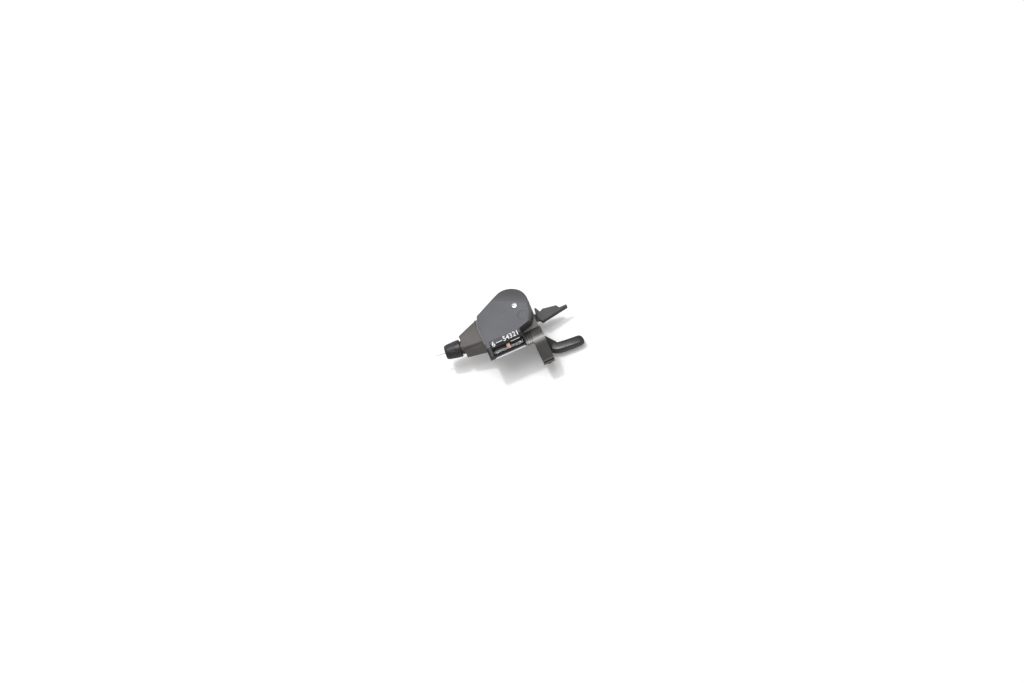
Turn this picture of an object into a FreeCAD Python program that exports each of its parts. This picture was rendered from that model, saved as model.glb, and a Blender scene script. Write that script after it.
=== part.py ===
import FreeCAD, Part
import math
import os
import re
import Sketcher

# Bicycle gear shifter for the right-hand side of a flat handlebar.
# Millimetres and degrees. The origin is the centre of the handlebar clamp,
# +X runs along the bar towards the grip, +Y forwards and +Z up through the cover.

sizes = {
    # handlebar clamp
    "barRadius": 11.1,
    "clampClearance": 0.05,
    "clampWall": 3.2,
    "clampWidth": 10,
    "clampGap": 2,
    "clampBoltReach": 14.6,
    "clampBoltRadius": 2,
    "clampBoltTop": 5.2,
    "clampHeadRadius": 3.5,
    "clampHeadHeight": 3.8,
    "clampSocketRadius": 1.8,
    "earMargin": 4.1,
    "earAngle": 35,
    "clampHeadSeat": 3.4,
    "neckBlockReach": 16.5,
    "neckBlockBottom": -4,
    "footLeft": -11,
    "footRight": 4,
    "footReach": 27,
    "footThickness": 2.6,
    "footScrewRadius": 1.5,
    "footScrewHead": 2.7,
    "footScrewDepth": 2.4,
    "sleeveSlack": 0.5,
    "sleeveWall": 0.9,
    "ribPitch": 2,
    "ribHeight": 1.7,
    # mechanism axis and its stack of parts
    "axisX": -13.5,
    "axisY": 34,
    "axleRadius": 2.5,
    "axleHeadRadius": 3.4,
    "axleHeadHeight": 2.5,
    "axleTail": 1,
    "axleNutHeight": 3.3,
    "axleNutRadius": 4.6,
    "washerThickness": 1,
    "washerRadius": 5.2,
    "runningClearance": 0.05,
    "layerGap": 0.4,
    "slipGap": 0.1,
    "springRoom": 3.3,
    # housing
    "skirtRadius": 18.5,
    "skirtWall": 1.6,
    "topPlate": 3,
    "housingTop": 7,
    "bodyLeft": -44.6,
    "bodyRear": 13.2,
    "bodyBottom": -7,
    "bodyCornerX": -43.4,
    "bodyCornerY": 39.4,
    "capLeftAngle": 117.2,
    "capRightAngle": -20,
    "neckShoulder": 2.4,
    "neckStartTop": 12,
    "shoulderDrop": 1.6,
    "neckEndWidth": 18,
    "neckEndTop": 9,
    "neckEndBottom": -8.5,
    "neckRound": 6,
    "cableTubeRadius": 6,
    "cableAngle": 7,
    "neckReach": 48.85,
    "releaseSlotStart": -44,
    "releaseSlotSpan": 44,
    "slotMargin": 0.7,
    "tubeLength": 22,
    "cableBore": 1.2,
    # cover
    "coverThickness": 10.5,
    "coverWall": 1.8,
    "coverRear": -3,
    "coverRight": -11.5,
    "coverShoulderX": -1.1,
    "coverShoulderY": 15.2,
    "coverHipX": 3,
    "coverHipY": 22,
    "coverCornerX": -41,
    "coverCornerY": 40.6,
    "coverFlankY": 31,
    "coverEdge": 2.2,
    "noseOffset": 4,
    "noseRadius": 16.3,
    "dimpleX": -4.5,
    "dimpleY": 22.5,
    "dimpleRadius": 4.2,
    "dimpleDepth": 0.35,
    "barRelief": 1.1,
    "shelfY": 14,
    "creaseOffset": 6.7,
    "creaseAngle": 57.4,
    "capDrop": 2.4,
    "capCurve": 60,
    "coverScrewX": -7.7,
    "coverScrewY": 34.4,
    "coverScrewRadius": 1.2,
    "coverScrewHead": 2.5,
    # gear window
    "windowLeft": -39.5,
    "windowRight": -12.9,
    "windowRear": -1.6,
    "windowFront": 10.9,
    "dialThickness": 0.6,
    "dialDepth": 3.6,
    "lensThickness": 1.3,
    "lensLedge": 0.8,
    "needlePivotX": -26,
    "needlePivotY": 28,
    "needleReach": 26.5,
    "needleThickness": 0.6,
    "needleWidth": 1.8,
    "needlePost": 1.5,
    "needleHub": 3,
    "needleSwing": 24,
    # cable and drum
    "wireRadius": 0.6,
    "wireStub": 8,
    "grooveRadius": 12.5,
    "grooveSlack": 0.1,
    "drumRadius": 13.6,
    "drumHalf": 3.5,
    "hubRadius": 5,
    "nippleRadius": 1.6,
    "woundAngle": 72,
    "springStrip": 0.4,
    "springTurns": 4,
    "springOuter": 10.4,
    "woundStart": 4.6,
    # ratchets and pawls
    "ratchetTip": 11,
    "ratchetRoot": 9.6,
    "ratchetThickness": 2,
    "ratchetTeeth": 27,
    "pawlCircle": 14.2,
    "pawlPinRadius": 1.2,
    "pawlEye": 2.1,
    "pawlBeak": 6.5,
    "holdingPawlAngle": 100,
    "drivePawlAngle": -80,
    "plateThickness": 1,
    "plateBossCircle": 15.6,
    "plateBossRadius": 1.6,
    "plateScrewRadius": 0.7,
    "plateScrewHead": 1.3,
    "springPostAngle": 45,
    "springPostRadius": 1.3,
    "springWire": 0.4,
    "releaseWire": 0.25,
    "coilSteps": 14,
    # finger lever
    "releaseAngle": -16,
    "releasePlate": 1.8,
    "releaseHub": 8,
    "releaseArmHalf": 3.5,
    "releaseArmReach": 27,
    "bladeCover": 1.3,
    "bladeRootX": 5.9,
    "bladeRear": 22,
    "bladeTip": 33.9,
    "bladeFin": 37.1,
    "bladeCorner": 0.5,
    "bladeRound": 0.4,
    # thumb lever
    "armAngle": -56,
    "armThickness": 3,
    "armHub": 15.5,
    "armHalf": 4,
    "armReach": 41,
    "padTop": -13.6,
    "padBottom": -21.6,
    "padRear": 5.2,
    "padFront": -0.6,
    "padTip": 26,
    "padHeel": 2.2,
    "padThroat": 5,
    "padBend": 10,
    "padCorner": 2,
    "padRound": 1.7,
    "sheathCover": 0.9,
    "sheathStart": 0.55,
    # barrel adjuster
    "shankRadius": 2.95,
    "shankLength": 10,
    "detentThickness": 0.7,
    "detentRadius": 5.5,
    "knobLength": 13.6,
    "knobRadius": 7.5,
    "knobNose": 5.7,
    "knobGrooves": 10,
    "casingRadius": 2.6,
    "casingDepth": 8,
    "wireHole": 1.1,
    "plugRadius": 2.8,
}

doc = FreeCAD.newDocument("GearShifter")
sheet = doc.addObject("Spreadsheet::Sheet", "dims")
for row, (alias, value) in enumerate(sizes.items(), 1):
    sheet.set(f"A{row}", str(value))
    sheet.setAlias(f"A{row}", alias)
doc.recompute()


def dim(formula):
    # A formula is written with the plain names of the sizes
    def refer(match):
        word = match.group()
        return "dims." + word if word in sizes else word
    return re.sub("[A-Za-z]+", refer, formula)


def number(formula):
    return float(sheet.evalExpression(dim(formula)))


def bind(thing, **formulas):
    for name, formula in formulas.items():
        thing.setExpression(name.replace("__", "."), dim(formula))


def place(thing, path, at):
    for axis, formula in zip("xyz", at):
        thing.setExpression(f"{path}.Base.{axis}", dim(formula))


def new_body(label, at=("0", "0", "0"), turn="0"):
    body = doc.addObject("PartDesign::Body", label)
    body.Label = label
    upright = FreeCAD.Vector(0, 0, 1)
    body.Placement = FreeCAD.Placement(FreeCAD.Vector(), FreeCAD.Rotation(upright, number(turn)))
    place(body, "Placement", at)
    return body


def origin_part(body, role):
    return next(part for part in body.Origin.OriginFeatures if part.Role == role)


def new_sketch(body, name, plane="XY_Plane", level="0"):
    sketch = body.newObject("Sketcher::SketchObject", name)
    sketch.AttachmentSupport = [(origin_part(body, plane), "")]
    sketch.MapMode = "FlatFace"
    bind(sketch, AttachmentOffset__Base__z=level)
    return sketch


def fix(sketch, geometry, point, at):
    for kind, formula in zip(("DistanceX", "DistanceY"), at):
        wanted = Sketcher.Constraint(kind, -1, 1, geometry, point, number(formula))
        index = sketch.addConstraint(wanted)
        sketch.setExpression(f"Constraints[{index}]", dim(formula))


def polygon(sketch, corners):
    ends = [FreeCAD.Vector(number(x), number(y), 0) for x, y in corners]
    first = sketch.GeometryCount
    count = len(corners)
    for index in range(count):
        sketch.addGeometry(Part.LineSegment(ends[index], ends[(index + 1) % count]), False)
    for index in range(count):
        after = first + (index + 1) % count
        sketch.addConstraint(Sketcher.Constraint("Coincident", first + index, 2, after, 1))
    for index, corner in enumerate(corners):
        fix(sketch, first + index, 1, corner)
    return sketch


def circle(sketch, at, radius):
    centre = FreeCAD.Vector(number(at[0]), number(at[1]), 0)
    upright = FreeCAD.Vector(0, 0, 1)
    index = sketch.addGeometry(Part.Circle(centre, upright, number(radius)), False)
    fix(sketch, index, 3, at)
    wanted = Sketcher.Constraint("Radius", index, number(radius))
    sketch.setExpression(f"Constraints[{sketch.addConstraint(wanted)}]", dim(radius))
    return sketch


def pad(body, sketch, length):
    feature = body.newObject("PartDesign::Pad", "Pad")
    feature.Profile = sketch
    bind(feature, Length=length)
    return feature


def pocket(body, sketch, length, upwards=True):
    feature = body.newObject("PartDesign::Pocket", "Pocket")
    feature.Profile = sketch
    feature.Reversed = upwards
    bind(feature, Length=length)
    return feature


def disc(body, radius, level, length, at=("0", "0")):
    return pad(body, circle(new_sketch(body, "Round", level=level), at, radius), length)


def bore(body, radius, level, length, at=("0", "0")):
    return pocket(body, circle(new_sketch(body, "Hole", level=level), at, radius), length)


def slab(body, corners, level, length):
    return pad(body, polygon(new_sketch(body, "Outline", level=level), corners), length)


def revolve(body, corners, axis="H_Axis"):
    sketch = polygon(new_sketch(body, "Section", "XZ_Plane"), corners)
    feature = body.newObject("PartDesign::Revolution", "Revolution")
    feature.Profile = sketch
    feature.ReferenceAxis = (sketch, [axis])
    feature.Angle = 360
    return feature


def primitive(body, kind, at, direction=(0, 0, 1), **formulas):
    feature = body.newObject("PartDesign::" + kind, kind)
    feature.AttachmentSupport = [(origin_part(body, "XY_Plane"), "")]
    feature.MapMode = "FlatFace"
    turn = FreeCAD.Rotation(FreeCAD.Vector(0, 0, 1), FreeCAD.Vector(*direction))
    feature.AttachmentOffset = FreeCAD.Placement(FreeCAD.Vector(), turn)
    place(feature, "AttachmentOffset", at)
    bind(feature, **formulas)
    return feature


def box(body, kind, x_range, y_range, z_range):
    spans = [f"({high}) - ({low})" for low, high in (x_range, y_range, z_range)]
    at = (x_range[0], y_range[0], z_range[0])
    return primitive(body, kind + "Box", at, Length=spans[0], Width=spans[1], Height=spans[2])


def polar_copies(body, feature, axis, count):
    doc.recompute()
    pattern = body.newObject("PartDesign::PolarPattern", "Copies")
    pattern.Originals = [feature]
    pattern.Axis = (origin_part(body, axis), [""])
    pattern.Angle = 360
    bind(pattern, Occurrences=count)
    body.Tip = pattern
    return pattern


def fillet(body, radius, wanted):
    doc.recompute()
    base = body.Tip
    edges = [f"Edge{index}" for index, edge in enumerate(base.Shape.Edges, 1) if wanted(edge)]
    feature = body.newObject("PartDesign::Fillet", "Fillet")
    feature.Base = (base, edges)
    bind(feature, Radius=radius)
    return feature


def chamfer(body, width, wanted):
    doc.recompute()
    base = body.Tip
    edges = [f"Edge{index}" for index, edge in enumerate(base.Shape.Edges, 1) if wanted(edge)]
    feature = body.newObject("PartDesign::Chamfer", "Chamfer")
    feature.Base = (base, edges)
    bind(feature, Size=width)
    return feature


def middle(edge):
    return edge.valueAt((edge.FirstParameter + edge.LastParameter) / 2)


def flat_at(edge, formula):
    level = number(formula)
    heights = [vertex.Z for vertex in edge.Vertexes] + [middle(edge).z]
    return all(abs(height - level) < 1e-4 for height in heights)


def on_rim(edge, top, bottom):
    return flat_at(edge, top) or flat_at(edge, bottom)


def about_axis(radius, angle, side="0"):
    # A point at a radius and angle from the mechanism axis, with an offset square to that
    x = f"axisX + ({radius}) * cos({angle}) - ({side}) * sin({angle})"
    y = f"axisY + ({radius}) * sin({angle}) + ({side}) * cos({angle})"
    return x, y


def arm_strip(start, end, angle, half):
    # The outline of a straight arm about the mechanism axis
    spots = ((start, f"-({half})"), (end, f"-({half})"), (end, half), (start, half))
    return [about_axis(reach, angle, side) for reach, side in spots]


# Levels of the stack on the mechanism axis, from the drum downwards
index_top = "(-drumHalf - layerGap)"
index_bottom = f"({index_top} - ratchetThickness)"
release_top = f"({index_bottom} - layerGap)"
release_bottom = f"({release_top} - releasePlate)"
plate_top = f"({release_bottom} - layerGap)"
plate_bottom = f"({plate_top} - plateThickness)"
drive_top = f"({plate_bottom} - layerGap)"
drive_bottom = f"({drive_top} - ratchetThickness)"
skirt_bottom = f"({drive_bottom} - springRoom)"
arm_top = f"({skirt_bottom} - layerGap)"
arm_bottom = f"({arm_top} - armThickness)"
washer_top = f"({arm_bottom} - slipGap)"
washer_bottom = f"({washer_top} - washerThickness)"
nut_bottom = f"({washer_bottom} - axleNutHeight)"
plate_under = "(housingTop - topPlate)"
cover_top = "(housingTop + coverThickness)"
foot_top = "(housingTop + footThickness)"
axis = ("axisX", "axisY")
nose = about_axis("noseOffset", "creaseAngle")
boss_angles = ("15", "135", "200")

# The cable leaves the drum at a tangent and runs out through the neck
tangent_x = "(axisX - grooveRadius * sin(cableAngle))"
tangent_y = "(axisY - grooveRadius * cos(cableAngle))"
outward = (-math.cos(math.radians(sizes["cableAngle"])), math.sin(math.radians(sizes["cableAngle"])), 0)
inward = tuple(-part for part in outward)


def on_cable(distance):
    x = f"{tangent_x} - ({distance}) * cos(cableAngle)"
    y = f"{tangent_y} + ({distance}) * sin(cableAngle)"
    return x, y, "0"


def cable_body(label):
    return new_body(label, (tangent_x, tangent_y, "0"), "180 - cableAngle")


# Clamp
bore_radius = "(barRadius + clampClearance)"
clamp_outer = f"({bore_radius} + clampWall)"
ear_reach = "(clampBoltReach + earMargin)"
half_width = "(clampWidth / 2)"
foot_screws = (("footLeft + 2.5", "footReach - 4"), ("footRight - 5", "footReach - 3"))


def side_disc(body, radius, left, length):
    sketch = circle(new_sketch(body, "Round", "YZ_Plane", left), ("0", "0"), radius)
    return pad(body, sketch, length)


def clamp_band():
    body = new_body("clamp_band")
    sleeve = f"({bore_radius} + sleeveSlack)"
    sleeve_outer = f"({sleeve} + sleeveWall)"
    sleeve_right = f"(-{half_width} + sleeveSlack)"
    side_disc(body, sleeve_outer, "footLeft", f"{sleeve_right} - footLeft")
    for rib in range(3):
        side_disc(body, f"{sleeve_outer} + ribHeight", f"footLeft + ribPitch * {rib}", "ribPitch / 2")
    across = ("footLeft - 1", sleeve_right)
    beyond = f"({clamp_outer} + 5)"
    box(body, "Subtractive", across, (f"-{beyond}", beyond), (f"-{beyond}", "barRadius / 5"))
    box(body, "Subtractive", across, (f"-{beyond}", "-barRadius / 3"), ("0", beyond))
    primitive(body, "SubtractiveCylinder", ("footLeft - 1", "0", "0"), (1, 0, 0),
              Radius=sleeve, Height=f"{sleeve_right} - footLeft + 1")
    side_disc(body, clamp_outer, f"-{half_width}", "clampWidth")
    ear_top = f"(({clamp_outer} - {ear_reach} * sin(earAngle)) / cos(earAngle))"
    ear_start = (f"-{clamp_outer} * sin(earAngle)", f"{clamp_outer} * cos(earAngle)")
    ear = [ear_start, (f"-{ear_reach}", ear_top), (f"-{ear_reach}", f"-{ear_top}"),
           (ear_start[0], f"-{ear_start[1]}")]
    pad(body, polygon(new_sketch(body, "Ear", "YZ_Plane", f"-{half_width}"), ear), "clampWidth")
    inside = "(barRadius * 0.9)"
    box(body, "Additive", (f"-{half_width}", "footRight"), (inside, "neckBlockReach"),
        ("neckBlockBottom", foot_top))
    box(body, "Additive", ("footLeft", "footRight"), (inside, "footReach"), ("housingTop", foot_top))
    primitive(body, "SubtractiveCylinder", (f"-{half_width}", "0", "0"), (1, 0, 0),
              Radius=bore_radius, Height="clampWidth")
    box(body, "Subtractive", (f"-{half_width} - 1", f"{half_width} + 1"),
        (f"-{ear_reach} - 1", "-barRadius / 2"), ("-clampGap / 2", "clampGap / 2"))
    bolt = ("0", "-clampBoltReach")
    bore(body, "clampBoltRadius + runningClearance", f"-{beyond}",
         f"{beyond} + clampBoltTop + slipGap", bolt)
    bore(body, "clampHeadRadius + slipGap", f"-{beyond}", f"{beyond} - clampHeadSeat", bolt)
    for at in foot_screws:
        bore(body, "footScrewRadius + runningClearance", "housingTop", "footThickness", at)
        bore(body, "footScrewHead + slipGap", f"{foot_top} - footThickness / 2", "footThickness", at)


def clamp_bolt():
    body = new_body("clamp_bolt", ("0", "-clampBoltReach", "0"))
    disc(body, "clampHeadRadius", "-clampHeadSeat - clampHeadHeight", "clampHeadHeight")
    disc(body, "clampBoltRadius", "-clampHeadSeat", "clampHeadSeat + clampBoltTop")
    hexagon = [(f"clampSocketRadius * cos({60 * corner})", f"clampSocketRadius * sin({60 * corner})")
               for corner in range(6)]
    socket = polygon(new_sketch(body, "Socket", level="-clampHeadSeat - clampHeadHeight"), hexagon)
    pocket(body, socket, "clampHeadHeight * 0.6")
    chamfer(body, "clampHeadRadius / 10", lambda edge: flat_at(edge, "-clampHeadSeat - clampHeadHeight")
            and edge.BoundBox.XMax > number("clampHeadRadius") - 0.01)


def clamp_foot_screws():
    screws = []
    for at in foot_screws:
        screw = doc.addObject("Part::Cylinder", "Screw")
        bind(screw, Radius="footScrewRadius", Height="footThickness + footScrewDepth")
        place(screw, "Placement", at + ("housingTop - footScrewDepth",))
        head = doc.addObject("Part::Cylinder", "Head")
        bind(head, Radius="footScrewHead", Height="footThickness / 2")
        place(head, "Placement", at + (f"{foot_top} - footThickness / 2",))
        screws += [screw, head]
    group = doc.addObject("Part::MultiFuse", "clamp_foot_screws")
    group.Shapes = screws
    group.Label = "clamp_foot_screws"


def housing():
    body = new_body("housing")
    neck(body)
    depth = f"housingTop - {skirt_bottom}"
    disc(body, "skirtRadius", skirt_bottom, depth, axis)
    outline = [("bodyLeft", "bodyRear"), ("axisX - skirtRadius / 4", "bodyRear"), axis,
               about_axis("skirtRadius", "capLeftAngle"), ("bodyCornerX", "bodyCornerY"),
               ("bodyLeft", "bodyCornerY - 2 * (bodyCornerX - bodyLeft)")]
    slab(body, outline, "bodyBottom", "housingTop - bodyBottom")
    disc(body, "noseRadius", "bodyBottom", "housingTop - bodyBottom", nose)
    shoulder = [("bodyLeft - slipGap", "coverFlankY"), ("coverCornerX - slipGap * 2", "coverCornerY"),
                ("bodyLeft - slipGap", "bodyCornerY + neckShoulder / 2")]
    slab(body, shoulder, "bodyBottom", "neckStartTop - shoulderDrop - bodyBottom")
    bore(body, "skirtRadius - skirtWall", skirt_bottom, f"{plate_under} - {skirt_bottom}", axis)
    for angle in boss_angles:
        spot = about_axis("plateBossCircle", angle)
        disc(body, "plateBossRadius", plate_top, f"{plate_under} - {plate_top}", spot)
        bore(body, "plateScrewRadius + slipGap / 2", plate_top, "plateScrewRadius * 6", spot)
    wall = "skirtWall"
    hollow = [(f"bodyLeft + {wall}", f"bodyRear + {wall}"), ("axisX - skirtRadius", f"bodyRear + {wall}"),
              ("axisX - skirtRadius", "bodyCornerY"), (f"bodyLeft + {wall}", f"bodyCornerY - 2 * {wall}")]
    pocket(body, polygon(new_sketch(body, "Hollow", level=plate_under), hollow), "topPlate")
    primitive(body, "SubtractiveCylinder", on_cable("grooveRadius * 0.7"), outward,
              Radius="cableBore", Height="neckReach")
    primitive(body, "SubtractiveCylinder", on_cable("neckReach - shankLength - slipGap"), outward,
              Radius="shankRadius + runningClearance", Height="shankLength * 2")
    primitive(body, "SubtractiveCylinder", on_cable("-grooveRadius * 0.8"), inward,
              Radius="plugRadius", Height="grooveRadius")
    slot_end = "(releaseSlotStart + releaseSlotSpan)"
    slot = [axis, about_axis("skirtRadius * 1.4", "releaseSlotStart"),
            about_axis("skirtRadius * 1.4", "releaseSlotStart + releaseSlotSpan / 2"),
            about_axis("skirtRadius * 1.4", slot_end)]
    pocket(body, polygon(new_sketch(body, "LeverSlot", level=f"{release_bottom} - slotMargin"), slot),
           "releasePlate + 2 * slotMargin")
    bore(body, "axleRadius + slipGap / 2", plate_under, "topPlate", axis)
    for at in foot_screws:
        bore(body, "footScrewRadius + runningClearance", "housingTop - footScrewDepth",
             "footScrewDepth", at)
    posts(body)


def neck(body):
    # A tapered block with its long edges rounded, from the left face of the body out to the barrel
    end_x, end_y, level = on_cable("neckReach - neckEndWidth / 2 * tan(cableAngle) - layerGap")
    rear = "bodyRear + skirtWall / 2"
    front = "bodyCornerY + neckShoulder"
    root = [(rear, "bodyBottom"), (front, "bodyBottom"), (front, "neckStartTop"), (rear, "neckStartTop")]
    half = "neckEndWidth / 2"
    mouth = [(f"{end_y} - {half}", "neckEndBottom"), (f"{end_y} + {half}", "neckEndBottom"),
             (f"{end_y} + {half}", "neckEndTop"), (f"{end_y} - {half}", "neckEndTop")]
    loft = body.newObject("PartDesign::AdditiveLoft", "Neck")
    loft.Profile = polygon(new_sketch(body, "NeckRoot", "YZ_Plane", "bodyLeft"), root)
    loft.Sections = [polygon(new_sketch(body, "NeckMouth", "YZ_Plane", end_x), mouth)]
    loft.Ruled = True
    left = number("bodyLeft")
    far = number(end_x)
    fillet(body, "neckRound", lambda edge: edge.BoundBox.XMin < far + 1 and edge.BoundBox.XMax > left - 1)
    primitive(body, "AdditiveCylinder", on_cable("neckReach - tubeLength"), outward,
              Radius="cableTubeRadius", Height="tubeLength")


def posts(body):
    screw = ("coverScrewX", "coverScrewY")
    height = "coverThickness - coverWall - slipGap"
    disc(body, "coverScrewRadius + skirtWall * 0.6", "housingTop", height, screw)
    bore(body, "coverScrewRadius + runningClearance", "housingTop", "coverThickness", screw)
    pivot = ("needlePivotX", "needlePivotY")
    disc(body, "needlePost", "housingTop", height, pivot)


# Cover and gear window
def slope_cap(body, top):
    # Cuts the cap down along an arc, square to the crease
    sketch = new_sketch(body, "CapSlope", "XZ_Plane")
    turn = FreeCAD.Rotation(FreeCAD.Vector(0, 1, 0), number("creaseAngle"))
    sketch.AttachmentOffset = FreeCAD.Placement(FreeCAD.Vector(), turn)
    place(sketch, "AttachmentOffset", ("axisX", "0", "-axisY"))
    end_x = "noseOffset + noseRadius + slipGap * 10"
    corners = [("creaseOffset", top), (end_x, f"{top} - capDrop"), (end_x, f"{top} + coverWall"),
               ("creaseOffset", f"{top} + coverWall")]
    ends = [FreeCAD.Vector(number(x), number(y), 0) for x, y in corners]
    chord = ends[1] - ends[0]
    rise = number("capCurve") - math.sqrt(number("capCurve") ** 2 - (chord.Length / 2) ** 2)
    crown = (ends[0] + ends[1]) / 2 + FreeCAD.Vector(-chord.y, chord.x, 0).normalize() * rise
    sketch.addGeometry(Part.Arc(ends[1], crown, ends[0]), False)
    for index in (1, 2, 3):
        sketch.addGeometry(Part.LineSegment(ends[index], ends[(index + 1) % 4]), False)
    sketch.addConstraint(Sketcher.Constraint("Coincident", 0, 1, 1, 1))
    sketch.addConstraint(Sketcher.Constraint("Coincident", 0, 2, 3, 2))
    for index in (1, 2):
        sketch.addConstraint(Sketcher.Constraint("Coincident", index, 2, index + 1, 1))
    for index in (1, 2, 3):
        fix(sketch, index, 1, corners[index])
    fix(sketch, 3, 2, corners[0])
    wanted = Sketcher.Constraint("Radius", 0, number("capCurve"))
    sketch.setExpression(f"Constraints[{sketch.addConstraint(wanted)}]", dim("capCurve"))
    cut = pocket(body, sketch, "skirtRadius * 4")
    cut.Midplane = True


def cover_outside():
    body = new_body("cover_outside")
    left = "bodyLeft + slipGap"
    disc(body, "skirtRadius", "housingTop", "coverThickness", axis)
    outline = [(left, "coverRear"), ("coverRight", "coverRear"), ("coverRight", "coverShoulderY - 3"),
               ("coverShoulderX", "coverShoulderY"), ("coverHipX", "coverHipY"),
               about_axis("skirtRadius", "capRightAngle"), about_axis("skirtRadius", "capLeftAngle"),
               ("coverCornerX", "coverCornerY"), (left, "coverFlankY")]
    slab(body, outline, "housingTop", "coverThickness")
    disc(body, "noseRadius", "housingTop", "coverThickness", nose)
    behind = number("shelfY")
    beside = number("bodyLeft + slipGap * 2")
    fillet(body, "coverEdge", lambda edge: flat_at(edge, cover_top)
           and (middle(edge).y > behind or middle(edge).x < beside))
    slope_cap(body, cover_top)
    bore(body, "dimpleRadius", f"{cover_top} - dimpleDepth", "coverWall", ("dimpleX", "dimpleY"))
    return body


def cover_inside():
    body = new_body("cover_inside")
    roof = f"({cover_top} - coverWall)"
    height = "coverThickness - coverWall"
    wall = "coverWall"
    disc(body, f"skirtRadius - {wall}", "housingTop", height, axis)
    disc(body, f"noseRadius - {wall}", "housingTop", height, nose)
    outline = [(f"bodyLeft + {wall}", "shelfY"), ("coverRight", "shelfY"),
               (f"coverShoulderX - {wall}", f"coverShoulderY + {wall}"),
               (f"coverHipX - {wall} * 1.2", f"coverHipY + {wall} / 2"),
               about_axis(f"skirtRadius - {wall}", "capRightAngle"),
               about_axis(f"skirtRadius - {wall}", "capLeftAngle"),
               (f"coverCornerX + {wall} / 2", f"coverCornerY - {wall} * 1.3"),
               (f"bodyLeft + {wall}", f"coverFlankY - {wall} / 2")]
    slab(body, outline, "housingTop", height)
    slope_cap(body, roof)
    floor = f"({cover_top} - dialDepth)"
    above = f"({cover_top} + coverWall)"
    window_x = ("windowLeft", "windowRight")
    box(body, "Additive", window_x, ("windowRear", "windowFront"), (floor, above))
    box(body, "Additive", ("windowLeft - lensLedge", "windowRight + lensLedge"),
        ("coverRear - lensLedge", "windowFront + lensLedge"), (f"{cover_top} - lensThickness", above))
    swing = "((needlePivotY - windowFront + lensLedge) * tan(needleSwing) + needleWidth)"
    box(body, "Additive", (f"needlePivotX - {swing}", f"needlePivotX + {swing}"),
        ("windowFront - lensLedge", "shelfY + lensLedge"), (f"{floor} + dialThickness", roof))
    box(body, "Additive", ("footLeft - sleeveSlack", "footRight + sleeveSlack"),
        ("barRadius / 2", "footReach + sleeveSlack"), ("housingTop", f"{foot_top} + sleeveSlack"))
    primitive(body, "AdditiveCylinder", ("bodyLeft - 1", "0", "0"), (1, 0, 0),
              Radius="barRadius + barRelief", Height="footRight - bodyLeft")
    screw = ("coverScrewX", "coverScrewY")
    disc(body, "coverScrewRadius + slipGap", "housingTop", "coverThickness", screw)
    disc(body, "coverScrewHead + slipGap", f"{roof} + coverWall / 2", "coverWall", screw)
    return body


def top_cover():
    cover = doc.addObject("Part::Cut", "top_cover")
    cover.Base = cover_outside()
    cover.Tool = cover_inside()
    cover.Label = "top_cover"


def cover_screw():
    body = new_body("cover_screw", ("coverScrewX", "coverScrewY", f"{cover_top} - coverWall / 2"))
    disc(body, "coverScrewRadius", "-coverThickness / 2", "coverThickness / 2")
    disc(body, "coverScrewHead", "0", "coverWall / 2 + slipGap * 2")
    top = "coverWall / 2 + slipGap * 2"
    chamfer(body, "coverWall / 5", lambda edge: flat_at(edge, top))


def window_lens():
    body = new_body("window_lens")
    bottom = f"{cover_top} - lensThickness"
    gap = "slipGap / 2"
    box(body, "Additive", (f"windowLeft - lensLedge + {gap}", f"windowRight + lensLedge - {gap}"),
        ("coverRear", f"windowFront + lensLedge - {gap}"), (bottom, cover_top))
    rear = number("coverRear")
    fillet(body, "lensThickness / 2", lambda edge: flat_at(edge, cover_top)
           and abs(middle(edge).y - rear) < 0.01)


def dial_plate():
    body = new_body("dial_plate")
    gap = "slipGap"
    floor = f"{cover_top} - dialDepth"
    box(body, "Additive", (f"windowLeft + {gap}", f"windowRight - {gap}"),
        (f"windowRear + {gap}", f"windowFront - {gap}"), (floor, f"{floor} + dialThickness"))


def indicator_needle():
    level = f"{cover_top} - coverWall - slipGap * 2 - needleThickness"
    body = new_body("indicator_needle", ("needlePivotX", "needlePivotY", level))
    disc(body, "needleHub", "0", "needleThickness")
    slab(body, [("-needleWidth", "0"), ("needleWidth", "0"), ("needleWidth / 2", "-needleReach"),
                ("-needleWidth / 2", "-needleReach")], "0", "needleThickness")
    bore(body, "needlePost + runningClearance", "0", "needleThickness")


# Axle, drum and ratchets
def main_axle():
    body = new_body("main_axle", axis + ("0",))
    tail = f"({nut_bottom} - axleTail)"
    disc(body, "axleRadius", tail, f"housingTop - {tail}")
    disc(body, "axleHeadRadius", "housingTop", "axleHeadHeight")
    top = "housingTop + axleHeadHeight"
    chamfer(body, "axleHeadHeight / 5", lambda edge: flat_at(edge, top))


def axle_washer():
    body = new_body("axle_washer", axis + ("0",))
    disc(body, "washerRadius", washer_bottom, "washerThickness")
    bore(body, "axleRadius + runningClearance", washer_bottom, "washerThickness")


def axle_nut():
    body = new_body("axle_nut", axis + ("0",))
    hexagon = [(f"axleNutRadius * cos({60 * corner})", f"axleNutRadius * sin({60 * corner})")
               for corner in range(6)]
    slab(body, hexagon, nut_bottom, "axleNutHeight")
    bore(body, "axleRadius + runningClearance", nut_bottom, "axleNutHeight")


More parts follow.
